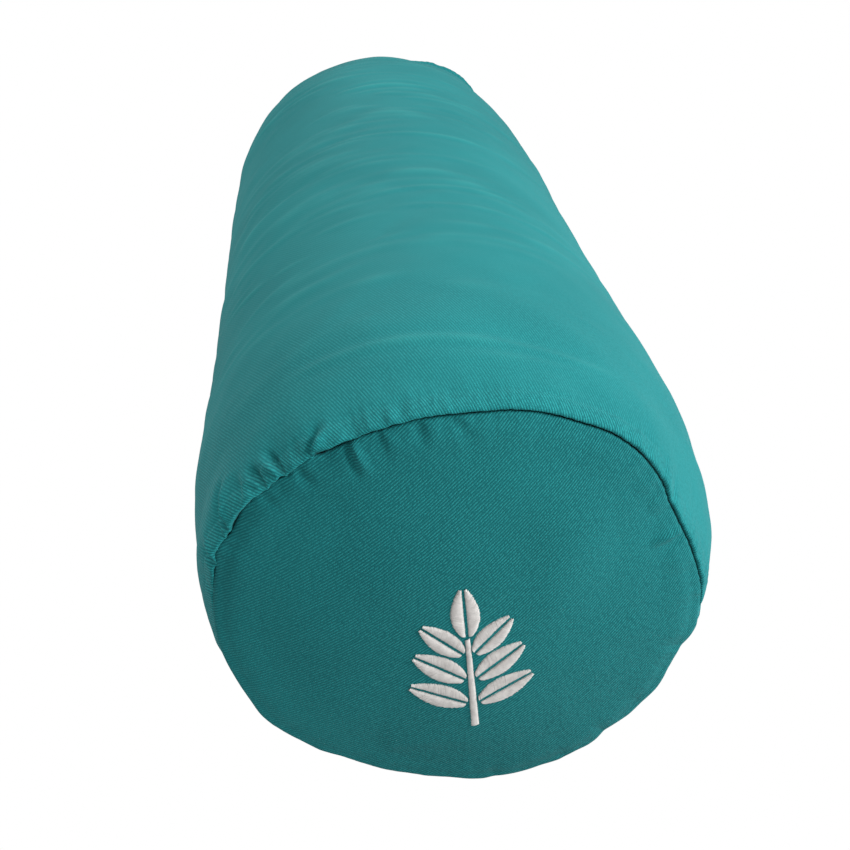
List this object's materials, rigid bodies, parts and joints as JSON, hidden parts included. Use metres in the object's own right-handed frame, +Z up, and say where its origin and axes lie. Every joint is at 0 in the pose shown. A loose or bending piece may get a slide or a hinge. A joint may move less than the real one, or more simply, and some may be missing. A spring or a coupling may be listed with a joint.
{
  "type": "bolster pillow",
  "caption": "Firm round bolster pillow: zipped twill cover with disc ends, leaf embroidery and a carry handle, over an inner case filled with loose hulls.",
  "frame": {"origin": "centre of the flat patch the bolster rests on, half way between the two end seams", "axes": "+Y along the bolster from the embroidered end to the handle end, +Z up"},
  "size_m": [0.22, 0.6856, 0.1999],
  "materials": {
    "cover_twill": "teal cotton twill, matt",
    "seam_thread": "matt polyester thread",
    "emblem_thread": "satin-stitched rayon thread",
    "backing_fleece": "matt fleece",
    "zip_tape": "matt woven tape",
    "zip_coil": "matt nylon",
    "zip_metal": "satin nickel",
    "label_satin": "satin ribbon, blank",
    "webbing": "matt woven webbing",
    "case_cotton": "natural unbleached cotton",
    "case_zip": "matt nylon",
    "hulls": "loose buckwheat hulls"
  },
  "bodies": {
    "bolster": {"cover_body": "cover_twill", "cover_front_end": "cover_twill", "cover_rear_end": "cover_twill", "front_seam_thread": "seam_thread", "rear_seam_thread": "seam_thread", "front_seam_overlock": "seam_thread", "rear_seam_overlock": "seam_thread", "front_emblem": "emblem_thread", "emblem_backing": "backing_fleece", "zip_tape_left": "zip_tape", "zip_tape_right": "zip_tape", "zip_coil_left": "zip_coil", "zip_coil_right": "zip_coil", "zip_top_stops": "zip_metal", "zip_bottom_stop": "zip_metal", "zip_topstitch": "seam_thread", "care_label": "label_satin", "inner_case_body": "case_cotton", "inner_case_front_end": "case_cotton", "inner_case_rear_end": "case_cotton", "inner_front_overlock": "case_cotton", "inner_rear_overlock": "case_cotton", "inner_zip_tapes": "case_cotton", "inner_zip_coils": "case_zip", "inner_zip_stops": "case_zip", "hull_filling": "hulls", "handle_tabs": "webbing", "handle_stitching": "seam_thread"},
    "slider": {"zip_slider": "zip_metal"},
    "pull_tab": {"zip_pull": "zip_metal"},
    "inner_slider": {"inner_zip_slider": "case_zip"},
    "handle": {"handle_loop": "webbing"}
  },
  "joints": [
    {"name": "zip_slide", "type": "slide", "parent": "bolster", "child": "slider", "axis": [0, -1, 0], "range_m": [0, 0.376], "deforming": ["zip_coil_left", "zip_coil_right"]},
    {"name": "zip_pull_flip", "type": "hinge", "parent": "slider", "child": "pull_tab", "pos_m": [0.08412, 0.17, 0.02651], "axis": [0.6948, 0, 0.7192], "range_deg": [0, 170]},
    {"name": "inner_zip_slide", "type": "slide", "parent": "bolster", "child": "inner_slider", "axis": [0, -1, 0], "range_m": [0, 0.228], "deforming": ["inner_zip_coils"]},
    {"name": "handle_flop", "type": "hinge", "parent": "bolster", "child": "handle", "pos_m": [0, 0.3232, 0.0974], "axis": [1, 0, 0], "range_deg": [-60, 60], "deforming": ["handle_loop"]}
  ]
}
